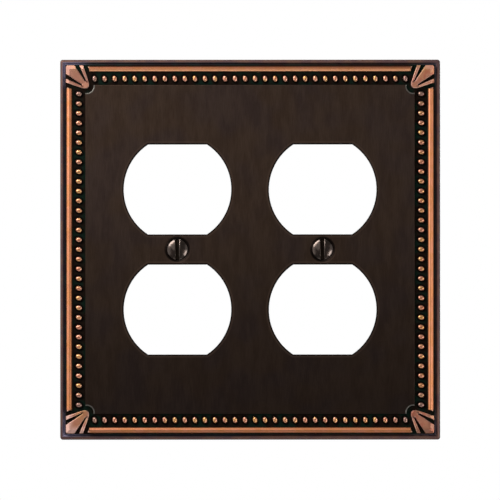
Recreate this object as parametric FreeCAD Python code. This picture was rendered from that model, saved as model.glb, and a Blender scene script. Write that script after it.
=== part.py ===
"""Two-gang duplex wall plate cover: one casting with a beaded border, two captive screws and their retainers.

Row frame, millimetres: X to the right, Z up, the face towards -Y, and the wall in the plane Y = 0.
Every piece is drawn lying on its back, with its height above the wall along the local z, and is stood up for export.
"""

import FreeCAD, Part
import math
import os

from FreeCAD import Vector

# Plate outline, and levels above the wall
PLATE_SIDE = 120.4
HALF_SIDE = PLATE_SIDE / 2
OUTER_CORNER_R = 0.8
SHOULDER_R = 0.7
FLOOR_Z = 4.5  # border floor, which carries the rails, beads and corner fans
PANEL_Z = 5.3  # top of the centre panel
CAVITY_Z = 3.0  # roof of the hollow back
SIDE_WALL = 2.3
CAVITY_CORNER_R = 2.0
LAP = 0.2  # how far the details run into the wall they stand on

# Border, measured inwards from the outer edge
GROOVE_IN = 1.35
GROOVE_DEPTH = 0.4
RAIL_IN = 2.87
RAIL_R = 0.9
RAIL_CROWN_Z = FLOOR_Z + 0.45  # centre of the rail's half-round top
RAIL_END_IN = 8.45
RAIL_END_SLOPE = 2.4  # height per length, of the bevel that ends each rail
BEADS_ACROSS_IN = 6.05  # rows along the top and bottom
BEADS_UP_IN = 5.92  # rows up the sides
BEAD_LONG_R = 1.1  # oval beads, longer across the border than along it
BEAD_R = 0.82
BEAD_LIFT = 0.12
BEADS_ACROSS, BEADS_ACROSS_PITCH = 32, 3.18
BEADS_UP, BEADS_UP_PITCH = 33, 3.085

# Centre panel, and how far its slab runs outwards into the border ring
PANEL_IN = 8.0
NOTCH_IN = 8.45
NOTCH_R = 2.1
PANEL_EDGE_R = 0.25
PANEL_LAP = 3.0

# Corner fan, measured inwards from the outer corner: each ray's outline in plan, and the line along its top
FAN_LINE = 1.84  # where the rays end, beside the groove
FAN_BEVEL, FAN_BEVEL_SLOPE = 0.26, 0.9  # width, and height per width, along a ray's sides
FAN_END_BEVEL, FAN_END_SLOPE = 1.25, 0.34  # the same at the rays' outer ends
CENTRE_RAY = [(2.2, FAN_LINE), (4.5, FAN_LINE), (8.1, 7.22), (7.22, 8.1), (FAN_LINE, 4.5), (FAN_LINE, 2.2)]
CENTRE_RAY_TOP = Vector(2.5, 2.5, 6.1), Vector(8.0, 8.0, 5.6)
SIDE_RAY = [(6.08, FAN_LINE), (7.25, FAN_LINE), (9.23, 7.58), (9.1, 8.2), (8.75, 7.9)]
SIDE_RAY_TOP = Vector(6.67, FAN_LINE, 5.95), Vector(9.0, 8.0, 5.6)
HUB_IN = 8.0
HUB_R = 1.3
HUB_Z = 5.65
HUB_BEVEL = 0.4

# Device openings: two duplex outlets side by side
GANG_PITCH = 46.04
OUTLET_PITCH = 38.1
OPENING_R = 17.07
OPENING_FLAT = 14.29  # half the height between the opening's flats

# Captive screw: 6-32 UNC, slotted oval head, with a neck under the head
THREAD_R = 3.505 / 2
THREAD_START_Z = 0.03
THREAD_RUNOUT = 0.3
NECK_R = 1.45
HEAD_R = 3.3
HEAD_LAND = 0.14
DOME_H = 0.95
HEAD_ANGLE = 82.0
SLOT_W = 1.0
SLOT_DEPTH = 1.35
SCREW_LENGTH = 15.875
TIP_CHAMFER = 0.5
HOLE_R = 1.9
SINK_R = 3.75
SINK_LIP_R = 1.5
SEAT_GAP = 0.08  # between the two cones, along the axis

# Screw retainer: a slit washer on the neck, behind the plate
RETAINER_R = 3.5
RETAINER_T = 0.4
RETAINER_Z = 0.06
RETAINER_CLEARANCE = 0.05
RETAINER_TRAVEL = 1.85
SLIT_COUNT = 4
SLIT_W = 0.5
SLIT_LENGTH = 0.9

# Back of the casting
BOSS_R = 4.5
BOSS_Z = RETAINER_Z + RETAINER_T + RETAINER_TRAVEL
RIB_T = 1.4
RIB_Z = 1.8
RIB_ROW = 42.0
RIB_COLUMN = 48.0
COLLAR_T = 1.2
COLLAR_Z = 2.3
PAD_R = 2.5
PAD_H = 0.25
PAD_ROW = 53.0

SINK_SLOPE = math.tan(math.radians(HEAD_ANGLE / 2))  # radius per height of the countersink's cone
GANGS = {"left": -GANG_PITCH / 2, "right": GANG_PITCH / 2}
FAN_LEAN = math.atan2(SIDE_RAY[2][0] - SIDE_RAY[1][0], SIDE_RAY[2][1] - SIDE_RAY[1][1])  # of its long outer side
ORIGIN = Vector(0, 0, 0)
UP = Vector(0, 0, 1)


def box(x0, x1, y0, y1, z0, z1):
    return Part.makeBox(x1 - x0, y1 - y0, z1 - z0, Vector(x0, y0, z0))


def cylinder(r, z0, z1, x=0.0, y=0.0):
    return Part.makeCylinder(r, z1 - z0, Vector(x, y, z0))


def line(a, b):
    return Part.LineSegment(Vector(*a), Vector(*b)).toShape()


def arc(a, middle, b):
    return Part.Arc(Vector(*a), Vector(*middle), Vector(*b)).toShape()


def prism(edges, z0, z1):
    """A closed outline in the plane z = 0, raised between two heights."""
    solid = Part.Face(Part.Wire(edges)).extrude(Vector(0, 0, z1 - z0))
    solid.translate(Vector(0, 0, z0))
    return solid


def spun(edges):
    """A solid turned about the local z axis from a closed outline in the plane y = 0."""
    return Part.Face(Part.Wire(edges)).revolve(ORIGIN, UP, 360)


def edges_at(shape, z):
    """The edges that lie wholly in the plane at height z."""
    return [e for e in shape.Edges if max(abs(e.BoundBox.ZMin - z), abs(e.BoundBox.ZMax - z)) < 1e-4]


def upright_edges(shape):
    return [e for e in shape.Edges if abs(e.BoundBox.ZLength - shape.BoundBox.ZLength) < 1e-4]


def square_block(inset, z0, z1, corner_r=0.0):
    h = HALF_SIDE - inset
    block = box(-h, h, -h, h, z0, z1)
    return block.makeFillet(corner_r, upright_edges(block)) if corner_r else block


def square_frustum(low_inset, low_z, high_inset, high_z):
    wires = []
    for inset, z in ((low_inset, low_z), (high_inset, high_z)):
        h = HALF_SIDE - inset
        loop = [Vector(-h, -h, z), Vector(h, -h, z), Vector(h, h, z), Vector(-h, h, z)]
        wires.append(Part.makePolygon(loop + loop[:1]))
    return Part.makeLoft(wires, True, True)


def trimmed(shape, point, outward):
    """The shape, which is smaller than the plate, without what lies beyond a plane."""
    cutter = Part.makeBox(PLATE_SIDE, PLATE_SIDE, PLATE_SIDE, Vector(-HALF_SIDE, -HALF_SIDE, 0))
    cutter.Placement = FreeCAD.Placement(Vector(*point), FreeCAD.Rotation(UP, outward))
    return shape.cut(cutter)


def on_four_sides(shape):
    """The shape and its copies at the three other quarter turns of the plate."""
    turned = []
    for quarter in range(4):
        copy = shape.copy()
        copy.rotate(ORIGIN, UP, 90 * quarter)
        turned.append(copy)
    return turned


def border_ring():
    """The side walls and the border floor, with a groove inside the rounded outer shoulder."""
    ring = square_block(0, 0, FLOOR_Z, OUTER_CORNER_R)
    ring = ring.makeFillet(SHOULDER_R, edges_at(ring, FLOOR_Z))
    pocket = square_block(SIDE_WALL, -1, CAVITY_Z, CAVITY_CORNER_R)
    window = square_block(PANEL_IN + PANEL_LAP, 0, FLOOR_Z + 1)
    groove_z = FLOOR_Z - GROOVE_DEPTH
    groove = square_frustum(GROOVE_IN, groove_z, GROOVE_IN - GROOVE_DEPTH, FLOOR_Z).cut(
        square_frustum(GROOVE_IN, groove_z, GROOVE_IN + GROOVE_DEPTH, FLOOR_Z)
    )
    return ring.cut(pocket).cut(window).cut(groove)


def rails():
    """A half-round rail along each side, its ends cut to the slant of the fans beside them and bevelled."""
    half = HALF_SIDE - RAIL_END_IN
    foot_z = FLOOR_Z - LAP
    middle = HALF_SIDE - RAIL_IN
    foot = box(-half, half, middle - RAIL_R, middle + RAIL_R, foot_z, RAIL_CROWN_Z)
    rail = foot.fuse(Part.makeCylinder(RAIL_R, 2 * half, Vector(-half, middle, RAIL_CROWN_Z), Vector(1, 0, 0)))
    for end in (-1, 1):
        slant = Vector(end * math.cos(FAN_LEAN), -math.sin(FAN_LEAN), 0)
        rail = trimmed(rail, (end * half, middle + RAIL_R, 0), slant)
        rail = trimmed(rail, (end * half, middle + RAIL_R, RAIL_CROWN_Z), slant * RAIL_END_SLOPE + UP)
    return on_four_sides(rail.removeSplitter())


def oval_bead():
    """A capsule lying along X about the origin."""
    half = BEAD_LONG_R - BEAD_R
    slant = BEAD_R * math.sqrt(0.5)
    outline = [
        arc((-BEAD_LONG_R, 0, 0), (-half - slant, slant, 0), (-half, BEAD_R, 0)),
        line((-half, BEAD_R, 0), (half, BEAD_R, 0)),
        arc((half, BEAD_R, 0), (half + slant, slant, 0), (BEAD_LONG_R, 0, 0)),
        line((BEAD_LONG_R, 0, 0), (-BEAD_LONG_R, 0, 0)),
    ]
    return Part.Face(Part.Wire(outline)).revolve(ORIGIN, Vector(1, 0, 0), 360)


def beads():
    across_row = HALF_SIDE - BEADS_ACROSS_IN
    up_row = HALF_SIDE - BEADS_UP_IN
    places = []
    for i in range(BEADS_ACROSS):
        x = (i - (BEADS_ACROSS - 1) / 2) * BEADS_ACROSS_PITCH
        places += [(x, across_row, 90), (x, -across_row, 90)]
    for i in range(BEADS_UP):
        y = (i - (BEADS_UP - 1) / 2) * BEADS_UP_PITCH
        places += [(up_row, y, 0), (-up_row, y, 0)]
    bead = oval_bead()
    set_in = []
    for x, y, turn in places:
        placed = bead.copy()
        placed.rotate(Vector(), UP, turn)
        placed.translate(Vector(x, y, FLOOR_Z + BEAD_LIFT))
        set_in.append(placed)
    return set_in


def ray(outline, top):
    """A prism on a counter-clockwise outline. Its top holds the line between two points and is level across it.
    Bevels run down from the top to every side, and those at the ray's outer end are wide and shallow."""
    block = Part.Face(Part.makePolygon([Vector(x, y, FLOOR_Z - LAP) for x, y in [*outline, outline[0]]]))
    outer, inner = top
    normal = (inner - outer).cross(UP.cross(inner - outer))
    block = trimmed(block.extrude(UP * PLATE_SIDE), outer, normal)
    for (x0, y0), (x1, y1) in zip(outline, outline[1:] + outline[:1]):
        at_end = x0 == x1 == FAN_LINE or y0 == y1 == FAN_LINE
        width, slope = (FAN_END_BEVEL, FAN_END_SLOPE) if at_end else (FAN_BEVEL, FAN_BEVEL_SLOPE)
        start, end = Vector(x0, y0, outer.z - width * slope), Vector(x1, y1, outer.z - width * slope)
        start.z -= normal.dot(Vector(x0, y0, outer.z) - outer) / normal.z
        end.z -= normal.dot(Vector(x1, y1, outer.z) - outer) / normal.z
        outward = (end - start).cross(UP).normalize()
        block = trimmed(block, start, (end - start).cross(UP * slope - outward))
    return block


def fans():
    """The three-rayed ornaments on the border's corners: a wide ray between two narrow ones, joined by a hub."""
    bevel_z = HUB_Z - HUB_BEVEL * FAN_BEVEL_SLOPE
    hub = cylinder(HUB_R, FLOOR_Z - LAP, bevel_z, HUB_IN, HUB_IN)
    crown = Part.makeCone(HUB_R, HUB_R - HUB_BEVEL, HUB_Z - bevel_z, Vector(HUB_IN, HUB_IN, bevel_z))
    side = ray(SIDE_RAY, SIDE_RAY_TOP)
    fan = hub.fuse([crown, ray(CENTRE_RAY, CENTRE_RAY_TOP), side, side.mirror(ORIGIN, Vector(1, -1, 0))])
    fan.translate(Vector(-HALF_SIDE, -HALF_SIDE, 0))
    return on_four_sides(fan)


def opening_edges(offset=0.0):
    """Outline of one outlet opening: a circle cut off by two level flats."""
    r = OPENING_R + offset
    flat = OPENING_FLAT + offset
    x = math.sqrt(r * r - flat * flat)
    return [
        line((-x, flat, 0), (x, flat, 0)),
        arc((x, flat, 0), (r, 0, 0), (x, -flat, 0)),
        line((x, -flat, 0), (-x, -flat, 0)),
        arc((-x, -flat, 0), (-r, 0, 0), (-x, flat, 0)),
    ]


def at_outlets(shape):
    copies = []
    for x in GANGS.values():
        for y in (-OUTLET_PITCH / 2, OUTLET_PITCH / 2):
            copy = shape.copy()
            copy.translate(Vector(x, y, 0))
            copies.append(copy)
    return copies


def at_gangs(shape):
    copies = []
    for x in GANGS.values():
        copy = shape.copy()
        copy.translate(Vector(x, 0, 0))
        copies.append(copy)
    return copies


def panel():
    """The raised centre panel with its scooped corners, the outlet openings cut through it."""
    slab = square_block(PANEL_IN, CAVITY_Z, PANEL_Z)
    reach = HALF_SIDE - NOTCH_IN
    scoops = [cylinder(NOTCH_R, CAVITY_Z - 1, PANEL_Z + 1, x, y) for x in (-reach, reach) for y in (-reach, reach)]
    slab = slab.cut(scoops + at_outlets(prism(opening_edges(), CAVITY_Z - 1, PANEL_Z + 1)))
    return slab.makeFillet(PANEL_EDGE_R, edges_at(slab, PANEL_Z))


def countersink():
    """Cutter for one screw hole: a clearance hole, the cone and a rounded lip."""
    cone_z = PANEL_Z - (SINK_R - HOLE_R) / SINK_SLOPE
    lean = math.radians(90 - HEAD_ANGLE / 2)  # the cone's slope from the panel's face
    reach = SINK_LIP_R * math.tan(lean / 2)
    lip_out = (SINK_R + reach, 0, PANEL_Z)
    lip_in = (SINK_R - reach * math.cos(lean), 0, PANEL_Z - reach * math.sin(lean))
    middle = (
        SINK_R + reach - SINK_LIP_R * math.sin(lean / 2),
        0,
        PANEL_Z - SINK_LIP_R * (1 - math.cos(lean / 2)),
    )
    low, high = BOSS_Z - 1, PANEL_Z + 1
    return spun(
        [
            line((0, 0, low), (HOLE_R, 0, low)),
            line((HOLE_R, 0, low), (HOLE_R, 0, cone_z)),
            line((HOLE_R, 0, cone_z), lip_in),
            arc(lip_in, middle, lip_out),
            line(lip_out, (SINK_R + reach, 0, high)),
            line((SINK_R + reach, 0, high), (0, 0, high)),
            line((0, 0, high), (0, 0, low)),
        ]
    )


def back_details():
    """Stiffening ribs, collars round the openings, screw bosses and ejector pads, all under the cavity's roof."""
    reach = HALF_SIDE - SIDE_WALL + LAP
    half_t = RIB_T / 2
    roof = CAVITY_Z + LAP
    ribs = [box(x - half_t, x + half_t, -reach, reach, RIB_Z, roof) for x in (-RIB_COLUMN, 0, RIB_COLUMN)]
    ribs += [box(-reach, reach, y - half_t, y + half_t, RIB_Z, roof) for y in (-RIB_ROW, RIB_ROW)]
    collars = at_outlets(prism(opening_edges(COLLAR_T), COLLAR_Z, roof))
    bosses = at_gangs(cylinder(BOSS_R, BOSS_Z, roof))
    pads = [
        cylinder(PAD_R, CAVITY_Z - PAD_H, roof, x, y)
        for x in (-RIB_COLUMN / 2, RIB_COLUMN / 2)
        for y in (-PAD_ROW, PAD_ROW)
    ]
    pads += [cylinder(PAD_R, CAVITY_Z - PAD_H, roof, x, 0) for x in (-PAD_ROW, PAD_ROW)]
    return ribs + collars + bosses + pads


def wall_plate():
    plate = border_ring().fuse([panel(), *rails(), *fans(), *back_details()])
    plate = plate.fuse(beads())
    plate = plate.cut(at_outlets(prism(opening_edges(), 0, CAVITY_Z + LAP)) + at_gangs(countersink()))
    return plate.removeSplitter()


def screw():
    """The screw on the local z axis, seated in its countersink."""
    rim_low = PANEL_Z + SEAT_GAP - (SINK_R - HEAD_R) / SINK_SLOPE
    rim_high = rim_low + HEAD_LAND
    neck_z = PANEL_Z + SEAT_GAP - (SINK_R - NECK_R) / SINK_SLOPE
    top = rim_high + DOME_H
    dome_r = (HEAD_R**2 + DOME_H**2) / (2 * DOME_H)
    half_angle = math.asin(HEAD_R / dome_r) / 2
    dome_middle = (dome_r * math.sin(half_angle), 0, top - dome_r * (1 - math.cos(half_angle)))
    thread_z = THREAD_START_Z - THREAD_RUNOUT  # where the thread has its full radius
    tip = rim_high - SCREW_LENGTH
    corners = [
        (HEAD_R, 0, rim_high),
        (HEAD_R, 0, rim_low),
        (NECK_R, 0, neck_z),
        (NECK_R, 0, THREAD_START_Z),
        (THREAD_R, 0, thread_z),
        (THREAD_R, 0, tip + TIP_CHAMFER),
        (THREAD_R - TIP_CHAMFER, 0, tip),
        (0, 0, tip),
        (0, 0, top),
    ]
    outline = [line(a, b) for a, b in zip(corners, corners[1:])]
    body = spun([arc(corners[-1], dome_middle, corners[0]), *outline])
    return body.cut(box(-SLOT_W / 2, SLOT_W / 2, -HEAD_R - 1, HEAD_R + 1, top - SLOT_DEPTH, top + 1))


def retainer():
    """The washer on the local z axis, its slits running outwards from the bore."""
    bore = NECK_R + RETAINER_CLEARANCE
    top = RETAINER_Z + RETAINER_T
    cutters = [cylinder(bore, RETAINER_Z - 1, top + 1)]
    for i in range(SLIT_COUNT):
        slit = box(0, bore + SLIT_LENGTH, -SLIT_W / 2, SLIT_W / 2, RETAINER_Z - 1, top + 1)
        slit.rotate(ORIGIN, UP, 360 / SLIT_COUNT * (i + 0.5))
        cutters.append(slit)
    return cylinder(RETAINER_R, RETAINER_Z, top).cut(cutters).removeSplitter()


def export(name, shape):
    """Stands a piece up, with its height above the wall towards -Y, and writes it."""
    shape = shape.copy()
    shape.rotate(ORIGIN, Vector(1, 0, 0), 90)
    if not shape.isValid() or len(shape.Solids) != 1:
        raise ValueError(f"{name}: {len(shape.Solids)} solids, valid is {shape.isValid()}")
    shape.Solids[0].exportStep(f"parts/{name}.step")
    size = shape.BoundBox
    print(f"{name}: {size.XLength:.2f} x {size.YLength:.2f} x {size.ZLength:.2f} mm, {shape.Volume:.1f} mm3")


def main():
    os.makedirs("parts", exist_ok=True)
    export("wall_plate", wall_plate())
    for side, piece in zip(GANGS, at_gangs(screw())):
        export(f"screw_{side}", piece)
    for side, piece in zip(GANGS, at_gangs(retainer())):
        export(f"retainer_{side}", piece)


main()
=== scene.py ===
"""Looks of the two-gang duplex wall plate cover: aged bronze casting, slotted screws, nylon retainers.

Metres, in the part's own frame: X to the right, Z up, the face towards -Y, and the wall in the plane Y = 0.
Materials work in millimetres of object space, so that their numbers read like the part's own sizes.
"""

import math

import bmesh
import bpy
from mathutils import Matrix, Vector


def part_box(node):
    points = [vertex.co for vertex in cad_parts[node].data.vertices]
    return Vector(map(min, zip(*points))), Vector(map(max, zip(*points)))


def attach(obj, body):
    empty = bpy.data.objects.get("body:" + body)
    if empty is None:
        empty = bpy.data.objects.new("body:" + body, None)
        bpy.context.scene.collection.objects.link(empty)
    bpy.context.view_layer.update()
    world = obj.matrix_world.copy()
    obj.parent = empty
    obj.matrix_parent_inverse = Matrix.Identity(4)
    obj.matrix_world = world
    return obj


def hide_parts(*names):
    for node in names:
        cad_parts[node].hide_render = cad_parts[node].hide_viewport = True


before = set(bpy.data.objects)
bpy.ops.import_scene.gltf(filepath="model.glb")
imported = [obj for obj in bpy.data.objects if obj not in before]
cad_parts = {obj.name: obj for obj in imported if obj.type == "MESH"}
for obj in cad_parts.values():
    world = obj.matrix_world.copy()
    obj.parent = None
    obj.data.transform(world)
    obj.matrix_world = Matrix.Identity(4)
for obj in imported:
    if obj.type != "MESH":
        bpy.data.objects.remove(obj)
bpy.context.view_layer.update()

MM = 0.001
SIDES = ("left", "right")
PLATE_LOW, PLATE_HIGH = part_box("wall_plate")
HALF_SIDE = PLATE_HIGH.x / MM  # of the square plate

# Casting, in millimetres: _HEIGHT is above the wall, and _IN is how far in from the outer edges
BORDER_HEIGHT = 4.5  # of its floor, below the rails and the beads
PANEL_HEIGHT = 5.3
CAVITY_HEIGHT = 3.0
CAVITY_IN = 0.4
RAIL_IN = 1.97  # outer edge of the rails
PANEL_IN = 8.0
FAN_IN = 9.5  # how far the corner fans reach along each border
NOTCH_IN = 8.45  # centres of the scoops at the panel's corners
NOTCH_R = 2.1
BEADS_ACROSS_IN = 6.05  # rows along the top and the bottom
BEADS_UP_IN = 5.92  # rows up the sides
BEAD_PITCH_X = 3.18
BEAD_PITCH_Z = 3.085

# Device openings and screws on the panel, in millimetres from its middle
GANG_X = 23.02
OUTLET_Z = 19.05
OPENING_R = 17.07
OPENING_FLAT = 14.29
SINK_R = 3.75

# Screw, in millimetres
THREAD_TOP = 0.0  # height above the wall
THREAD_PITCH = 25.4 / 32
THREAD_R = 3.505 / 2
THREAD_DEPTH = 0.48
THREAD_ROOT = 0.2  # shares of half a pitch that the flat root and the flank take
THREAD_FLANK = 0.66
THREAD_RUNOUT = THREAD_PITCH
TIP_CHAMFER = 0.5
NECK_R = 1.45
NECK_END = 0.1  # height of the neck's last row above the thread
NECK_FILLET = (0.12, 0.1)  # up and out
HEAD_R = 3.3
HEAD_LAND = 0.14
HEAD_SLOPE = math.tan(math.radians(41))  # of its underside, across per unit of height
HEAD_EDGE = 0.06
HEAD_ROUNDING = ((0.55, -1.0), (-0.3, -0.25), (-1.0, 0.0))  # (up, out) of the rim's rows, times HEAD_EDGE
DOME_H = 0.95
SLOT_HALF = 0.45  # half its width
SLOT_DEPTH = 1.35
SLOT_LIP_ACROSS = 0.42
SLOT_LIP_DOWN = 0.3
SAW_PAST = 1.0  # how far the saw reaches past the head, along the slot and above it
SAW_FLARE = 0.5

# Counts and angles that set how finely the screws are meshed and shaded
SEGMENTS = 72
ANGLES = [2 * math.pi * k / SEGMENTS for k in range(SEGMENTS)]
DOME_ROWS = 14
ROWS_PER_TURN = 14
LIP_STEPS = 6
SAW_STEPS = 12
SMOOTH_ANGLE = math.radians(38)

# Camera and stage, in metres
FRAME_WIDTH = 0.15852
AIM = Vector((-0.1, 0.0, -0.03)) * MM
CAMERA_DISTANCE = 0.6
CAMERA_AZIMUTH = math.radians(1.0)
CAMERA_ELEVATION = math.radians(-2.0)
CAMERA_CLIP = (0.01, 10.0)
FLOOR_DROP = 0.06
FLOOR_HALF = 1.5
WORLD_SEEN = 1.0
WORLD_LIGHT = 0.22
WHITE = (1.0, 1.0, 1.0)
WARM_WHITE = (1.0, 0.98, 0.96)

# Softboxes: name, direction from the plate, distance, width, height, radiance, colour
LIGHTS = (
    ("key", (-0.56, -0.53, 0.64), 0.34, 0.27, 0.07, 19.0, WARM_WHITE),
    ("fill", (0.7, -0.62, -0.31), 0.5, 0.24, 0.09, 12.0, WHITE),
    ("front", (-0.3, -0.88, 0.38), 0.42, 0.34, 0.28, 0.95, WHITE),
    ("left", (-0.92, -0.38, 0.0), 0.6, 0.6, 0.5, 1.1, WHITE),
    ("right", (0.92, -0.38, 0.0), 0.6, 0.6, 0.5, 0.7, WHITE),
    ("top", (0.0, -0.1, 0.92), 0.6, 0.6, 0.5, 0.4, WHITE),
    ("bottom", (0.0, -0.2, -0.92), 0.6, 0.6, 0.5, 1.1, WHITE),
    ("back", (0.3, 1.0, 0.4), 0.8, 0.5, 0.5, 5.0, WHITE),
)


# ---------------------------------------------------------------- node building


class Nodes:
    """A material's node tree, with one short call for each kind of node used here.

    A soft edge is a pair of values: where it starts and where it ends.
    """

    def __init__(self, name):
        self.material = bpy.data.materials.new(name)
        self.material.use_nodes = True
        self.tree = self.material.node_tree
        self.shader = self.tree.nodes["Principled BSDF"]
        coordinates = self.tree.nodes.new("ShaderNodeTexCoord")
        scale = self.tree.nodes.new("ShaderNodeVectorMath")
        scale.operation = "SCALE"
        scale.inputs["Scale"].default_value = 1 / MM
        self.tree.links.new(coordinates.outputs["Object"], scale.inputs[0])
        self.place = scale.outputs[0]
        split = self.tree.nodes.new("ShaderNodeSeparateXYZ")
        self.tree.links.new(self.place, split.inputs[0])
        self.x, y, self.z = split.outputs
        self.height = self.product(y, -1.0)
        facing = self.tree.nodes.new("ShaderNodeSeparateXYZ")
        self.tree.links.new(coordinates.outputs["Normal"], facing.inputs[0])
        self.facing_out = self.product(facing.outputs["Y"], -1.0)

    def put(self, socket, value):
        """Feeds a socket from another's output, or sets it to a value."""
        if isinstance(value, bpy.types.NodeSocket):
            self.tree.links.new(value, socket)
        else:
            socket.default_value = value

    def math(self, operation, a, b=0.0):
        node = self.tree.nodes.new("ShaderNodeMath")
        node.operation = operation
        self.put(node.inputs[0], a)
        self.put(node.inputs[1], b)
        return node.outputs[0]

    def plus(self, a, b):
        return self.math("ADD", a, b)

    def minus(self, a, b):
        return self.math("SUBTRACT", a, b)

    def product(self, first, *factors):
        """All the factors multiplied together."""
        for factor in factors:
            first = self.math("MULTIPLY", first, factor)
        return first

    def distance(self, a, b):
        """Length of the diagonal of two distances at right angles."""
        return self.math("SQRT", self.plus(self.product(a, a), self.product(b, b)))

    def ramp(self, value, edge, before, after):
        """A smooth change from before to after as the value crosses a soft edge."""
        node = self.tree.nodes.new("ShaderNodeMapRange")
        node.interpolation_type = "SMOOTHSTEP"
        node.inputs["From Min"].default_value = edge[0]
        node.inputs["From Max"].default_value = edge[1]
        node.inputs["To Min"].default_value = before
        node.inputs["To Max"].default_value = after
        self.put(node.inputs["Value"], value)
        return node.outputs["Result"]

    def rise(self, value, edge, top=1.0):
        return self.ramp(value, edge, 0.0, top)

    def fall(self, value, edge, top=1.0):
        return self.ramp(value, edge, top, 0.0)

    def band(self, value, start, end):
        """1 between two soft edges."""
        return self.product(self.rise(value, start), self.fall(value, end))

    def noise(self, size, stretch=(1, 1, 1), detail=3.0, roughness=0.55, offset=0.0):
        """Noise whose features are about this many millimetres across, drawn out along the axes."""
        mapping = self.tree.nodes.new("ShaderNodeMapping")
        mapping.inputs["Scale"].default_value = [1 / (size * s) for s in stretch]
        mapping.inputs["Location"].default_value = (offset, offset, offset)
        self.put(mapping.inputs["Vector"], self.place)
        node = self.tree.nodes.new("ShaderNodeTexNoise")
        node.inputs["Scale"].default_value = 1.0
        node.inputs["Detail"].default_value = detail
        node.inputs["Roughness"].default_value = roughness
        self.put(node.inputs["Vector"], mapping.outputs[0])
        return node.outputs["Fac"]

    def mix(self, factor, a, b):
        """Colour a where the factor is 0 and b where it is 1."""
        node = self.tree.nodes.new("ShaderNodeMix")
        node.data_type = "RGBA"  # whose colours are sockets 6 and 7
        self.put(node.inputs["Factor"], factor)
        self.put(node.inputs[6], a)
        self.put(node.inputs[7], b)
        return node.outputs[2]

    def blend(self, factor, a, b):
        """Number a where the factor is 0 and b where it is 1."""
        node = self.tree.nodes.new("ShaderNodeMix")
        self.put(node.inputs["Factor"], factor)
        self.put(node.inputs[2], a)
        self.put(node.inputs[3], b)
        return node.outputs[0]

    def bump(self, height, depth):
        """Surface relief from a height between 0 and about 1 and the millimetres that 1 stands for."""
        node = self.tree.nodes.new("ShaderNodeBump")
        node.inputs["Distance"].default_value = depth * MM
        self.put(node.inputs["Height"], height)
        self.put(self.shader.inputs["Normal"], node.outputs[0])

    def finish(self, colour, roughness, metallic):
        self.put(self.shader.inputs["Base Color"], colour)
        self.put(self.shader.inputs["Roughness"], roughness)
        self.put(self.shader.inputs["Metallic"], metallic)
        return self.material


def linear(c):
    """A channel's linear value from its sRGB value of 0 to 255."""
    return ((c / 255 + 0.055) / 1.055) ** 2.4 if c > 10 else c / 255 / 12.92


def rgb(r, g, b):
    return (linear(r), linear(g), linear(b), 1.0)


# ---------------------------------------------------------------- materials

PANEL_BROWN = rgb(60, 46, 37)
PANEL_COOL = rgb(56, 44, 40)
PANEL_PALE = rgb(84, 68, 58)
PANEL_DEEP = rgb(40, 31, 25)
PANEL_PAINTED_SHADE = rgb(14, 10, 9)
SCOOP_EDGE_HIGHLIGHT = rgb(112, 110, 104)
SHADE_BLACK = rgb(9, 6, 5)
PATINA_BROWN = rgb(28, 19, 14)
PATINA_GREEN = rgb(16, 30, 23)
SHELF_SHEEN_BLUE = rgb(140, 134, 158)
COPPER = rgb(215, 142, 92)
COPPER_ROSE = rgb(221, 146, 110)
COPPER_BROWN = rgb(184, 112, 74)
COPPER_DULL_AND_SHADE = rgb(84, 46, 32)
COPPER_PAINTED_SHADE = rgb(156, 98, 66)
COPPER_RED = rgb(200, 104, 84)
COPPER_PAINTED_LIGHT = rgb(242, 180, 138)
PALE_ROSE = rgb(218, 166, 150)
PALE_PEACH = rgb(222, 174, 152)
PALE_YELLOW = rgb(222, 176, 122)
BEAD_COPPER = rgb(176, 112, 74)
BEAD_DULL = rgb(136, 110, 104)
BEAD_YELLOW = rgb(206, 160, 92)
FAN_FLAT = rgb(206, 124, 84)
FAN_ASH = rgb(150, 130, 122)
FAN_END_PAINTED_LIGHT = rgb(246, 200, 186)
RIM_BROWN = rgb(104, 77, 68)
RIM_PURPLE = rgb(92, 69, 69)
RAW_DARK = rgb(74, 66, 62)
RAW_PALE = rgb(98, 88, 80)
SLOT_DARK = rgb(34, 26, 20)
SCREW_DARK = rgb(46, 32, 23)
SCREW_PALE = rgb(60, 44, 34)
NYLON_PALE = rgb(226, 220, 204)
NYLON_DEEP = rgb(208, 200, 180)
FLOOR_GREY = rgb(238, 238, 238)
FLOOR_WHITE = rgb(246, 246, 246)

# Soft edges of the finishes by place, in millimetres
MIDDLE = (-10.0, 10.0)  # from left to right, and from bottom to top
MITRE = (-0.5, 0.5)  # where two borders meet
PANEL_FADE = (-58.0, 28.0)  # upwards: painted shade, the panel darker lower down
RIM_WEAR_AND_GLEAM = (0.3, 1.3)  # these down to SCOOP_ZONE are distances in from the nearest outer edge
# The rim's pale edge is partly wear and partly painted highlight; the next value makes it reach further in
# on the right as painted light
RIM_GLEAM_WIDER_RIGHT = 0.5
CAVITY_SIDE = (CAVITY_IN, CAVITY_IN + 0.2)
# The shelf carries a painted bluish sheen, which fades along the border away from the corners
SHELF = ((0.55, 0.85), (1.4, 1.75))
# Rail flanks: the outer ones darkened as patina and painted shade, the inner ones painted lighter or darker
# as painted light and shade
RAIL_OUTER = (RAIL_IN + 0.2, RAIL_IN + 1.5)
RAIL_INNER_ACROSS = (RAIL_IN + 1.0, RAIL_IN + 1.5)
RAIL_INNER_UP = (RAIL_IN + 0.6, RAIL_IN + 1.6)
RAIL_ZONE = (4.0, 4.4)
# Where the painted shade round the beads starts
BEAD_SHADE_ZONE = (4.1, 4.4)
ROW_ZONE = (4.4, 4.6)
FAN_OUTER_END = (2.6, 4.6)
PANEL_EDGE = (PANEL_IN - 0.15, PANEL_IN - 0.02)
SCOOP_ZONE = (11.5, 12.0)
SHELF_CORNER = (2.5, 11.0)  # these down to ROW_END are distances along a border from its corner
FAN_ZONE = (FAN_IN - 0.6, FAN_IN)
FAN_EDGE = (FAN_IN - 0.1, FAN_IN)
FAN_CLEAR = (FAN_IN - 0.5, FAN_IN + 0.5)
ROW_END = (FAN_IN, 18.0)

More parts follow.
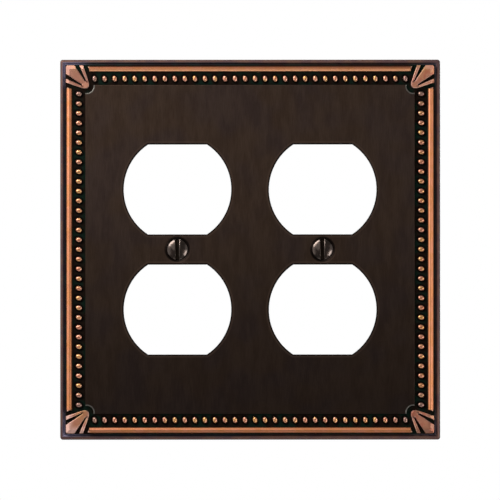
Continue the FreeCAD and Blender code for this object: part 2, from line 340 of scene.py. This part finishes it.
# Soft edges by height above the wall, in millimetres
CAVITY_LEVEL = (CAVITY_HEIGHT + 0.02, CAVITY_HEIGHT + 0.1)
RIM_LEVEL = (3.0, 4.1)
RAIL_RUBBED = (BORDER_HEIGHT + 0.05, BORDER_HEIGHT + 0.35)
BEAD_RUBBED = (BORDER_HEIGHT + 0.15, BORDER_HEIGHT + 0.4)
FAN_RUBBED = (BORDER_HEIGHT + 0.86, BORDER_HEIGHT + 1.1)
RUBBED_RAGGED = 0.3  # height by which the edges of the rubbed copper wander
SCOOP_LEVEL = (PANEL_HEIGHT - 0.4, PANEL_HEIGHT - 0.3)
SLOT_LEVEL = (4.2, 4.4)

# Soft edges by distance, in millimetres
OPENING_EDGE_SHADE = (0.18, 0.42)  # painted shade, out from an opening's edge
OPENING_LINE = ((0.35, 0.6), (0.75, 1.1))
SCOOP_LINE = ((NOTCH_R - 0.1, NOTCH_R + 0.05), (NOTCH_R + 0.3, NOTCH_R + 0.5))  # painted highlight along the scoop's edge, from its centre
SINK_SHADOW = (SINK_R + 0.1, SINK_R + 0.45)  # painted shadow round the screw head, from the screw's axis
SLOT_SHADE_EDGES = ((-SLOT_HALF - 0.35, -SLOT_HALF - 0.15), (SLOT_HALF, SLOT_HALF + 0.06))  # painted shade in the slot and over its left lip, across it
GROOVE_TIP = (0.2, 0.6)  # painted shade, out from the point of a fan's groove, which lies this far in and along
GROOVE_TIP_IN = 7.0
GROOVE_TIP_ALONG = 8.45

# Rubbed crown of a bead: an oval, partly wear and partly painted highlight, leaning down to the right as
# the highlights from the lamps do: pairs are for the rows up and the rows across
CROWN_LONG_R = 1.04
CROWN_SHORT_RS = (0.76, 0.68)
CROWN_HIGHLIGHT_LEANS = (math.radians(-28.0), math.radians(-68.0))
CROWN_EDGE = (0.8, 1.05)  # these two are soft edges, where 1 is the oval's own edge
# The next soft edge sets how far the painted shade round each bead reaches
CROWN_SHADE = (1.2, 2.0)
FLAT = (0.9, 0.985)  # soft edge by how squarely a surface faces out, where 1 is square

# Roughness, whose ranges follow the grain or the patches, metal, and relief in millimetres
PANEL_ROUGH = (0.38, 0.5)
RECESS_ROUGH = (0.45, 0.6)
CROWN_ROUGH = (0.3, 0.4)
RAIL_ROUGH = (0.44, 0.5)
CAVITY_ROUGH = 0.55
CASTING_METAL = 0.9
CASTING_SPECULAR = 0.15
CASTING_RELIEF = 0.02
BRUSHED_HEIGHT = 0.35  # in parts of the relief, as are the heights of the sand
SAND_HEIGHT = 0.6
SAND_RUBBED_HEIGHT = 0.3
SAND_CAVITY_HEIGHT = 2.0
SCREW_ROUGH = (0.2, 0.26)
SLOT_ROUGH = 0.5
SCREW_METAL = 0.95
SCREW_RELIEF = 0.003
LACQUER = 0.8
LACQUER_ROUGH = 0.2
NYLON_ROUGH = (0.42, 0.55)
NYLON_RELIEF = 0.012
NYLON_SCATTER = 0.15
NYLON_SCATTER_RADII = (0.8 * MM, 0.7 * MM, 0.5 * MM)
FLOOR_ROUGH = 0.8


def from_pair(n, place, out):
    """Signed distance from the nearer of the two lines that lie this far out to either side."""
    return n.minus(place, n.product(n.math("SIGN", place), out))


def from_step(n, place, pitch, phase):
    """Signed distance from the nearest of the places that repeat at a pitch."""
    turns = n.plus(n.math("DIVIDE", place, pitch), phase)
    return n.product(n.minus(n.math("FRACT", turns), 0.5), pitch)


def opening_distance(n):
    """Distance outwards from the nearest opening's edge: the greater of its circle's and its flats'."""
    dx = from_pair(n, n.x, GANG_X)
    dz = from_pair(n, n.z, OUTLET_Z)
    from_circle = n.minus(n.distance(dx, dz), OPENING_R)
    from_flat = n.minus(n.math("ABSOLUTE", dz), OPENING_FLAT)
    return n.math("MAXIMUM", from_circle, from_flat)


def bead_reach(n, across):
    """How far out from the nearest bead's rubbed crown, whose leaning oval is partly painted highlight, 1
    at the oval's edge.

    The factor is 1 in the rows across the top and bottom and 0 in the rows up the sides.
    """
    row_x = from_pair(n, n.x, HALF_SIDE - BEADS_UP_IN)
    row_z = from_pair(n, n.z, HALF_SIDE - BEADS_ACROSS_IN)
    dx = n.blend(across, row_x, from_step(n, n.x, BEAD_PITCH_X, 0.0))
    dz = n.blend(across, from_step(n, n.z, BEAD_PITCH_Z, 0.5), row_z)
    (up_x, up_z), (across_x, across_z) = [(math.cos(lean), math.sin(lean)) for lean in CROWN_HIGHLIGHT_LEANS]
    lean_x = n.blend(across, up_x, across_x)
    lean_z = n.blend(across, up_z, across_z)
    long_way = n.plus(n.product(dx, lean_x), n.product(dz, lean_z))
    short_way = n.minus(n.product(dx, lean_z), n.product(dz, lean_x))
    short_r = n.blend(across, *CROWN_SHORT_RS)
    return n.distance(n.math("DIVIDE", long_way, CROWN_LONG_R), n.math("DIVIDE", short_way, short_r))


class Casting:
    """Where a point of the casting lies, in millimetres, and the patches that its finishes share."""

    def __init__(self, n):
        self.in_x = n.minus(HALF_SIDE, n.math("ABSOLUTE", n.x))
        self.in_z = n.minus(HALF_SIDE, n.math("ABSOLUTE", n.z))
        self.inset = n.math("MINIMUM", self.in_x, self.in_z)
        self.along = n.math("MAXIMUM", self.in_x, self.in_z)  # how far along a border from its corner
        self.across = n.rise(n.minus(self.in_x, self.in_z), MITRE)  # 1 in the borders at the top and bottom
        self.right = n.rise(n.x, MIDDLE)
        self.top = n.rise(n.z, MIDDLE)
        self.bead = bead_reach(n, self.across)
        self.fan = n.fall(self.along, FAN_ZONE)
        self.off_fan = n.minus(1.0, self.fan)
        self.rail = n.product(n.fall(self.inset, RAIL_ZONE), self.off_fan)
        self.grain = n.noise(0.28, stretch=(1, 1, 14), detail=2.0, roughness=0.6)
        self.patch = n.noise(5.0, detail=2.0)
        self.tint = n.noise(4.0, detail=1.0, offset=3.7)
        self.rose = n.noise(2.4, detail=2.0, offset=9.1)


def border_mask(n, at):
    """1 on the borders, on the corner fans and in the scoops, and 0 on the centre panel."""
    scooped = n.product(n.fall(n.height, SCOOP_LEVEL), n.fall(at.inset, SCOOP_ZONE))
    border = n.math("MAXIMUM", n.fall(at.inset, PANEL_EDGE), scooped)
    return n.math("MAXIMUM", border, n.fall(at.along, FAN_EDGE))


def copper_mask(n, at):
    """1 where the dark finish is rubbed through: on what stands up from the border's floor."""
    ragged = n.plus(n.height, n.product(n.minus(n.noise(0.5), 0.5), RUBBED_RAGGED))
    on_bead = n.product(n.rise(ragged, BEAD_RUBBED), n.fall(at.bead, CROWN_EDGE))
    on_rail = n.rise(ragged, RAIL_RUBBED)
    on_fan = n.rise(ragged, FAN_RUBBED)
    return n.blend(at.fan, n.blend(at.rail, on_bead, on_rail), on_fan)


def panel_colour(n, at):
    """Brushed brown with painted shade darker lower down, black edges as painted shade, a paler line round
    them, a painted highlight round each scoop and a painted shadow round each screw head.
    """
    broad = n.noise(11.0, detail=1.0, offset=2.2)
    streak = n.noise(2.2, stretch=(1, 1, 4), detail=2.0)
    brown = n.mix(n.rise(broad, (0.35, 0.65)), PANEL_BROWN, PANEL_COOL)
    brown = n.mix(n.rise(streak, (0.35, 0.65), 0.22), brown, PANEL_PALE)
    brown = n.mix(n.rise(at.grain, (0.38, 0.66), 0.3), brown, PANEL_DEEP)
    # Painted shade: the brown is darkened towards the bottom of the panel.
    brown = n.mix(n.ramp(n.z, PANEL_FADE, 0.55, 0.08), brown, PANEL_PAINTED_SHADE)

    edge = opening_distance(n)
    scoop_r = n.distance(n.minus(at.in_x, NOTCH_IN), n.minus(at.in_z, NOTCH_IN))
    screw_r = n.distance(from_pair(n, n.x, GANG_X), n.z)
    brown = n.mix(n.product(n.band(edge, *OPENING_LINE), 0.3), brown, PANEL_PALE)
    # Painted highlight: a pale grey line along the edge of each corner scoop.
    brown = n.mix(n.product(n.band(scoop_r, *SCOOP_LINE), 0.7), brown, SCOOP_EDGE_HIGHLIGHT)
    # Painted shade: black along the openings' edges, and a painted shadow of each screw head round its
    # countersink.
    dark = n.math("MAXIMUM", n.fall(edge, OPENING_EDGE_SHADE), n.fall(screw_r, SINK_SHADOW, 0.85))
    return n.mix(dark, brown, SHADE_BLACK)


def recess_colour(n, at):
    """Near-black brown and green patina, with painted shade black round the beads and a painted bluish
    sheen on the shelf outside the rails.
    """
    patina = n.mix(n.rise(at.tint, (0.4, 0.62)), PATINA_BROWN, PATINA_GREEN)
    # Painted sheen: a bluish reflection on the shelf, strongest near the corners and on the left.
    sheen_near_corner = n.product(n.ramp(at.along, SHELF_CORNER, 1.0, 0.15), n.blend(at.right, 1.0, 0.5))
    patina = n.mix(n.product(n.band(at.inset, *SHELF), sheen_near_corner, 0.85), patina, SHELF_SHEEN_BLUE)
    # Painted shade: black round each bead on the border's floor.
    bead_shade = n.product(n.fall(at.bead, CROWN_SHADE), n.rise(at.inset, BEAD_SHADE_ZONE), n.rise(at.along, FAN_CLEAR))
    return n.mix(bead_shade, patina, SHADE_BLACK)


def rail_colour(n, at):
    """Copper in rose and brown patches, darker down the outer flanks as patina and painted shade, with
    painted light inside the top rail and painted shade inside the bottom and side rails.
    """
    warm = n.mix(n.rise(at.rose, (0.35, 0.65)), COPPER, COPPER_ROSE)
    warm = n.mix(n.rise(at.patch, (0.45, 0.75), 0.35), warm, COPPER_BROWN)
    # Outer flanks: partly patina kept low down, partly painted shade, strongest on the top rail and faint
    # up the sides.
    outer = n.product(n.fall(at.inset, RAIL_OUTER), n.blend(at.across, 0.05, n.blend(at.top, 0.6, 0.95)))
    warm = n.mix(outer, warm, COPPER_DULL_AND_SHADE)
    # Inner flank of the top rail painted lighter as painted light, of the bottom rail darker as painted
    # shade.
    inner = n.product(n.rise(at.inset, RAIL_INNER_ACROSS), at.across, 0.8)
    warm = n.mix(inner, warm, n.mix(at.top, COPPER_PAINTED_SHADE, COPPER_PAINTED_LIGHT))
    # Inner flanks of the side rails darkened as painted shade, more on the left.
    up = n.product(n.minus(1.0, at.across), n.blend(at.right, 0.6, 0.1))
    return n.mix(n.product(n.rise(at.inset, RAIL_INNER_UP), up), warm, COPPER_DULL_AND_SHADE)


def fan_tints(n, at, pale):
    """What differs on the fans: ash at the top left, a slight dulling, outer ends painted pale as painted
    light on the left and dark as painted shade at the bottom right, and painted shade in the groove tips.
    """
    pale = n.mix(n.product(at.fan, at.top, n.blend(at.right, 0.22, 0.0)), pale, FAN_ASH)
    pale = n.mix(n.product(at.fan, n.blend(at.top, 0.13, 0.1)), pale, COPPER_DULL_AND_SHADE)
    end = n.product(at.fan, n.fall(at.inset, FAN_OUTER_END))
    # Painted light: the outer ends of the left fans painted pale, most at the bottom left.
    pale = n.mix(n.product(end, n.blend(at.right, n.blend(at.top, 0.75, 0.08), 0.0)), pale, FAN_END_PAINTED_LIGHT)
    # Painted shade: the outer end of the bottom-right fan darkened.
    pale = n.mix(n.product(end, at.right, n.blend(at.top, 0.35, 0.0)), pale, COPPER_DULL_AND_SHADE)
    # Painted shade in the tip of each fan's groove.
    off_tip = n.distance(n.minus(at.inset, GROOVE_TIP_IN), n.minus(at.along, GROOVE_TIP_ALONG))
    return n.mix(n.fall(off_tip, GROOVE_TIP, 0.6), pale, COPPER_DULL_AND_SHADE)


def bead_tints(n, at, pale):
    """What differs on the beads: a deeper copper, yellow patches, and a duller finish near the corners."""
    pale = n.mix(n.product(at.off_fan, 0.5), pale, BEAD_COPPER)
    pale = n.mix(n.product(at.off_fan, n.rise(at.rose, (0.5, 0.6), 0.55)), pale, BEAD_YELLOW)
    row_end = n.product(n.fall(at.along, ROW_END, 0.9), n.rise(at.inset, ROW_ZONE))
    return n.mix(n.product(row_end, at.off_fan), pale, BEAD_DULL)


def crown_colour(n, at):
    """Paler copper on the beads and the fans, in rose, yellow, brown and red patches, deeper on flats and
    paler on tilted faces, partly as wear and partly as painted highlight.
    """
    blush = n.noise(1.8, detail=1.0, offset=4.4)
    pale = n.mix(n.rise(at.rose, (0.38, 0.6)), PALE_ROSE, PALE_PEACH)
    pale = n.mix(n.rise(at.tint, (0.5, 0.7), 0.7), pale, PALE_YELLOW)
    pale = n.mix(n.rise(at.patch, (0.5, 0.75), 0.5), pale, COPPER_BROWN)
    # Tilted faces stay paler than square ones: partly rubbed-edge wear, partly painted highlight where they
    # catch the lamps.
    pale = n.mix(n.rise(n.facing_out, FLAT, 0.6), pale, n.mix(at.fan, COPPER_BROWN, FAN_FLAT))
    pale = n.mix(n.product(n.rise(blush, (0.52, 0.66)), n.blend(at.right, 0.2, 0.45)), pale, COPPER_RED)
    return bead_tints(n, at, fan_tints(n, at, pale))


def aged_bronze():
    """Dark brushed panel, near-black recesses, copper rubbed through on what stands up, and a rim paler
    partly from wear and partly as painted highlight.
    """
    n = Nodes("aged_bronze")
    at = Casting(n)
    border = border_mask(n, at)
    copper = n.product(copper_mask(n, at), border)
    # The rim is paler partly from wear and partly as a painted highlight on its rounded edge, which reaches
    # further in on the right.
    rim_in = n.minus(at.inset, n.blend(at.right, 0.0, RIM_GLEAM_WIDER_RIGHT))
    rim = n.product(n.fall(rim_in, RIM_WEAR_AND_GLEAM), n.rise(n.height, RIM_LEVEL))
    cavity = n.product(n.fall(n.height, CAVITY_LEVEL), n.rise(at.inset, CAVITY_SIDE))

    colour = n.mix(border, panel_colour(n, at), recess_colour(n, at))
    colour = n.mix(rim, colour, n.mix(n.rise(at.patch, (0.4, 0.6)), RIM_BROWN, RIM_PURPLE))
    colour = n.mix(copper, colour, n.mix(at.rail, crown_colour(n, at), rail_colour(n, at)))
    colour = n.mix(cavity, colour, n.mix(n.rise(at.tint, (0.3, 0.7)), RAW_DARK, RAW_PALE))

    dark_rough = n.blend(border, n.blend(at.grain, *PANEL_ROUGH), n.blend(at.tint, *RECESS_ROUGH))
    copper_rough = n.blend(at.rail, n.blend(at.patch, *CROWN_ROUGH), n.blend(at.patch, *RAIL_ROUGH))
    roughness = n.blend(cavity, n.blend(copper, dark_rough, copper_rough), CAVITY_ROUGH)

    brushed = n.product(at.grain, n.minus(1.0, border), BRUSHED_HEIGHT)
    sand_height = n.blend(cavity, n.blend(copper, SAND_HEIGHT, SAND_RUBBED_HEIGHT), SAND_CAVITY_HEIGHT)
    sand = n.product(n.noise(0.35, detail=2.0, offset=5.3), sand_height)
    n.bump(n.plus(brushed, sand), CASTING_RELIEF)
    n.shader.inputs["Specular IOR Level"].default_value = CASTING_SPECULAR
    return n.finish(colour, roughness, CASTING_METAL)


def screw_bronze():
    """Smooth dark plating under a thin lacquer, with painted shade making the driver slot and its left lip
    darker, unlacquered and dull.
    """
    n = Nodes("screw_bronze")
    # Painted shade: the slot and its left lip are darker and lose the lacquer.
    slot = n.product(n.band(from_pair(n, n.x, GANG_X), *SLOT_SHADE_EDGES), n.rise(n.height, SLOT_LEVEL))
    tint = n.noise(1.4, detail=3.0)
    colour = n.mix(n.rise(tint, (0.35, 0.7)), SCREW_DARK, SCREW_PALE)
    n.bump(n.noise(0.18, stretch=(6, 1, 1), detail=2.0), SCREW_RELIEF)
    n.shader.inputs["Coat Roughness"].default_value = LACQUER_ROUGH
    n.put(n.shader.inputs["Coat Weight"], n.blend(slot, LACQUER, 0.0))
    roughness = n.blend(slot, n.blend(tint, *SCREW_ROUGH), SLOT_ROUGH)
    return n.finish(n.mix(slot, colour, SLOT_DARK), roughness, SCREW_METAL)


def retainer_nylon():
    """Natural nylon, faintly cloudy, with a dull moulded surface."""
    n = Nodes("retainer_nylon")
    cloud = n.noise(1.8, detail=2.0)
    n.bump(n.noise(0.25), NYLON_RELIEF)
    n.shader.inputs["Subsurface Weight"].default_value = NYLON_SCATTER
    n.shader.inputs["Subsurface Radius"].default_value = NYLON_SCATTER_RADII
    colour = n.mix(n.rise(cloud, (0.3, 0.7)), NYLON_PALE, NYLON_DEEP)
    return n.finish(colour, n.blend(cloud, *NYLON_ROUGH), 0.0)


def pale_floor():
    """Matt off-white, faintly uneven."""
    n = Nodes("pale_floor")
    return n.finish(n.mix(n.noise(60.0), FLOOR_GREY, FLOOR_WHITE), FLOOR_ROUGH, 0.0)


def dress(piece, material):
    piece.data.materials.clear()
    piece.data.materials.append(material)


# ---------------------------------------------------------------- screws


def thread_radius(angle, down):
    """Radius of the thread at an angle and a distance down, with flat crests and roots."""
    turn = (down / THREAD_PITCH - angle / (2 * math.pi)) % 1.0
    wave = abs(2 * turn - 1)  # 0 in the middle of a root, 1 in the middle of a crest
    rise = min(max((wave - THREAD_ROOT) / THREAD_FLANK, 0.0), 1.0)
    return THREAD_R - THREAD_DEPTH * (1 - rise)


def dome_level(top, r):
    """Level of the head's dome at a radius."""
    dome_r = (HEAD_R**2 + DOME_H**2) / (2 * DOME_H)
    return top - dome_r + math.sqrt(dome_r**2 - r**2)


def plain_rows(top):
    """Rows of the head and the neck, from the dome downwards: (level, radius at each angle)."""
    rim_high = top - DOME_H
    rim_low = rim_high - HEAD_LAND
    neck = rim_low - (HEAD_R - NECK_R) / HEAD_SLOPE
    dome = [HEAD_R * i / DOME_ROWS for i in range(1, DOME_ROWS)]
    outline = [(dome_level(top, r), r) for r in dome]
    outline += [(rim_high + HEAD_EDGE * up, HEAD_R + HEAD_EDGE * out) for up, out in HEAD_ROUNDING]
    outline.append((rim_low, HEAD_R))
    outline.append((neck + NECK_FILLET[0], NECK_R + NECK_FILLET[1]))
    outline.append((neck, NECK_R))
    outline.append((THREAD_TOP + NECK_END, NECK_R))
    return [(level, [r] * SEGMENTS) for level, r in outline]


def thread_rows(bottom):
    """Rows of the thread, which grows out of the neck over its first turn and is chamfered at the tip."""
    rows = []
    count = int((THREAD_TOP - bottom) / THREAD_PITCH * ROWS_PER_TURN)
    for i in range(count + 1):
        level = THREAD_TOP + (bottom - THREAD_TOP) * i / count
        down = THREAD_TOP - level
        grown = min(1.0, down / THREAD_RUNOUT)
        limit = THREAD_R - TIP_CHAMFER * (1 - min(1.0, (level - bottom) / TIP_CHAMFER))
        full = [thread_radius(angle, down) for angle in ANGLES]
        rows.append((level, [min(NECK_R + (r - NECK_R) * grown, limit) for r in full]))
    return rows


def built(name, build):
    """The mesh of a closed shape, with its faces turned outwards."""
    bmesh.ops.recalc_face_normals(build, faces=build.faces)
    mesh = bpy.data.meshes.new(name)
    build.to_mesh(mesh)
    build.free()
    return mesh


def lathed(name, x, rows, top, bottom):
    """A closed mesh on the axis at x from its rows of radii."""
    build = bmesh.new()
    rings = []
    for level, radii in rows:
        ring = []
        for angle, r in zip(ANGLES, radii):
            place = (x + r * MM * math.cos(angle), -level * MM, r * MM * math.sin(angle))
            ring.append(build.verts.new(place))
        rings.append(ring)
    crown = build.verts.new((x, -top * MM, 0))
    point = build.verts.new((x, -bottom * MM, 0))
    for k in range(SEGMENTS):
        after = (k + 1) % SEGMENTS
        build.faces.new((crown, rings[0][k], rings[0][after]))
        for upper, lower in zip(rings, rings[1:]):
            build.faces.new((upper[k], lower[k], lower[after], upper[after]))
        build.faces.new((rings[-1][k], point, rings[-1][after]))
    return built(name, build)


def saw_outline(floor, surface, end):
    """Right half of the saw's section, from the slot's floor up: wall, rounded lip and the flare above."""
    outline = [(SLOT_HALF, floor)]
    for i in range(LIP_STEPS + 1):
        angle = math.radians(90) * i / LIP_STEPS
        across = SLOT_HALF + SLOT_LIP_ACROSS * (1 - math.cos(angle))
        outline.append((across, surface - SLOT_LIP_DOWN * (1 - math.sin(angle))))
    outline.append((SLOT_HALF + SLOT_LIP_ACROSS + SAW_FLARE, end))
    return outline


def make_saw(x, top):
    """A bar whose flared section follows the dome, so that both long edges of the slot come out rounded."""
    lip = SLOT_HALF + SLOT_LIP_ACROSS
    reach = math.sqrt(HEAD_R**2 - lip**2)
    stations = [reach * (i / SAW_STEPS - 1) for i in range(2 * SAW_STEPS + 1)]
    build = bmesh.new()
    rings = []
    for z in [-HEAD_R - SAW_PAST, *stations, HEAD_R + SAW_PAST]:
        surface = dome_level(top, math.hypot(lip, min(abs(z), reach)))
        right = saw_outline(top - SLOT_DEPTH, surface, top + SAW_PAST)
        outline = right + [(-across, level) for across, level in reversed(right)]
        rings.append([build.verts.new((x + across * MM, -level * MM, z * MM)) for across, level in outline])
    for ring, after in zip(rings, rings[1:]):
        count = len(ring)
        for k in range(count):
            build.faces.new((ring[k], ring[(k + 1) % count], after[(k + 1) % count], after[k]))
    build.faces.new(rings[0])
    build.faces.new(rings[-1])
    saw = bpy.data.objects.new("saw", built("saw", build))
    bpy.context.scene.collection.objects.link(saw)
    return saw


def cut_slot(piece, x, top):
    """Saws the driver slot across the head, upright, with its two long edges eased."""
    saw = make_saw(x, top)
    cut = piece.modifiers.new("slot", "BOOLEAN")
    cut.operation = "DIFFERENCE"
    cut.solver = "EXACT"
    cut.object = saw
    bpy.context.view_layer.update()
    whole = piece.evaluated_get(bpy.context.evaluated_depsgraph_get())
    mesh = bpy.data.meshes.new_from_object(whole)
    piece.modifiers.clear()
    piece.data = mesh
    bpy.data.objects.remove(saw)


def shade_smooth(piece, angle):
    """Smooth shading across edges that turn by less than the angle."""
    for polygon in piece.data.polygons:
        polygon.use_smooth = True
    build = bmesh.new()
    build.from_mesh(piece.data)
    for edge in build.edges:
        edge.smooth = len(edge.link_faces) == 2 and edge.calc_face_angle(0) < angle
    build.to_mesh(piece.data)
    build.free()


def make_screw(side, material):
    """The slotted oval-head screw with its real helical thread, where the CAD screw is."""
    low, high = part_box(f"screw_{side}")
    x = (low.x + high.x) / 2
    top, bottom = -low.y / MM, -high.y / MM
    mesh = lathed("screw", x, plain_rows(top) + thread_rows(bottom), top, bottom)
    piece = bpy.data.objects.new(f"oval_head_screw_{side}", mesh)
    bpy.context.scene.collection.objects.link(piece)
    cut_slot(piece, x, top)
    shade_smooth(piece, SMOOTH_ANGLE)
    dress(piece, material)
    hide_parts(f"screw_{side}")
    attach(piece, f"screw_{side}")


# ---------------------------------------------------------------- stage


def soft_light(name, towards, away, width, height, radiance, colour):
    """A softbox facing the object from a direction, its width running round the plate's axis."""
    light = bpy.data.lights.new(name, "AREA")
    light.shape = "RECTANGLE"
    light.size = width
    light.size_y = height
    light.energy = radiance * math.pi * width * height
    light.color = colour
    lamp = bpy.data.objects.new(name, light)
    out = Vector(towards).normalized()
    across = Vector((0, -1, 0)).cross(out).normalized()
    turn = Matrix((across, out.cross(across), out)).transposed()
    lamp.matrix_world = Matrix.Translation(out * away) @ turn.to_4x4()
    lamp.visible_camera = False
    bpy.context.scene.collection.objects.link(lamp)


def white_world():
    """White where the camera sees it, and a dimmer grey as a light."""
    world = bpy.data.worlds.new("studio")
    world.use_nodes = True
    tree = world.node_tree
    background = tree.nodes["Background"]
    background.inputs["Color"].default_value = (*WHITE, 1.0)
    path = tree.nodes.new("ShaderNodeLightPath")
    mix = tree.nodes.new("ShaderNodeMix")
    mix.inputs[2].default_value = WORLD_LIGHT
    mix.inputs[3].default_value = WORLD_SEEN
    tree.links.new(path.outputs["Is Camera Ray"], mix.inputs["Factor"])
    tree.links.new(mix.outputs[0], background.inputs["Strength"])
    bpy.context.scene.world = world


def make_floor():
    """A plain pale floor below the plate."""
    level = PLATE_LOW.z - FLOOR_DROP
    corners = [(x * FLOOR_HALF, y * FLOOR_HALF, level) for x, y in ((-1, -1), (1, -1), (1, 1), (-1, 1))]
    mesh = bpy.data.meshes.new("floor")
    mesh.from_pydata(corners, [], [(0, 1, 2, 3)])
    floor = bpy.data.objects.new("floor", mesh)
    bpy.context.scene.collection.objects.link(floor)
    dress(floor, pale_floor())
    floor.visible_shadow = False
    floor.visible_glossy = False


def make_camera():
    """An upright orthographic view from very slightly right of and below the plate's axis."""
    camera = bpy.data.cameras.new("camera")
    camera.type = "ORTHO"
    camera.ortho_scale = FRAME_WIDTH
    camera.clip_start, camera.clip_end = CAMERA_CLIP
    view = bpy.data.objects.new("camera", camera)
    level = math.cos(CAMERA_ELEVATION)
    back = (
        math.sin(CAMERA_AZIMUTH) * level,
        -math.cos(CAMERA_AZIMUTH) * level,
        math.sin(CAMERA_ELEVATION),
    )
    view.location = AIM + Vector(back) * CAMERA_DISTANCE
    view.rotation_euler = (math.radians(90) - CAMERA_ELEVATION, 0, CAMERA_AZIMUTH)
    bpy.context.scene.collection.objects.link(view)
    bpy.context.scene.camera = view


def main():
    dress(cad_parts["wall_plate"], aged_bronze())
    screw_finish = screw_bronze()
    nylon = retainer_nylon()
    for side in SIDES:
        make_screw(side, screw_finish)
        dress(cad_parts[f"retainer_{side}"], nylon)
    for light in LIGHTS:
        soft_light(*light)
    white_world()
    make_floor()
    make_camera()
    bpy.context.scene.view_settings.view_transform = "Standard"


main()
